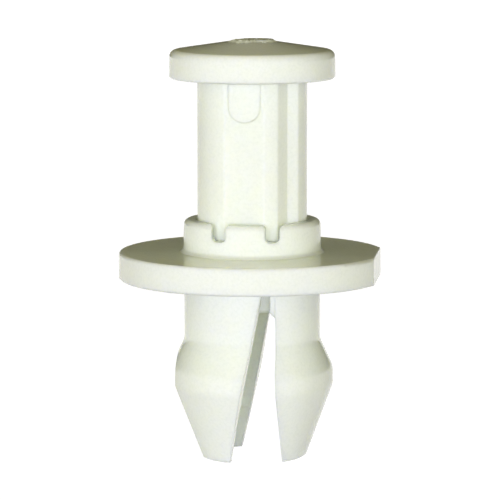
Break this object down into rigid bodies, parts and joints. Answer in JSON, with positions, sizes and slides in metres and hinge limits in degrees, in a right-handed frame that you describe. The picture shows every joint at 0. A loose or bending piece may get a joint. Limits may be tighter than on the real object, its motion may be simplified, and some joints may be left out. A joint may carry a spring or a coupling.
{
  "type": "plastic push rivet",
  "caption": "Two-piece push rivet in natural nylon: a flanged grommet with a notched collar and split hollow legs, and a domed, fluted pin that slides down into it.",
  "frame": {"origin": "on the axis, in the plane of the flange's underside, where the panel's face bears", "axes": "+Z along the axis towards the head; +X towards the flat on the flange's rim; -Y is the front"},
  "size_m": [0.0146, 0.015, 0.0238],
  "materials": {
    "natural_nylon": "moulded, satin, slightly translucent"
  },
  "bodies": {
    "grommet": {"grommet": "natural_nylon"},
    "pin": {"pin": "natural_nylon"}
  },
  "joints": [
    {"name": "pin_slide", "type": "slide", "parent": "grommet", "child": "pin", "axis": [0, 0, -1], "range_m": [0, 0.00793]}
  ]
}
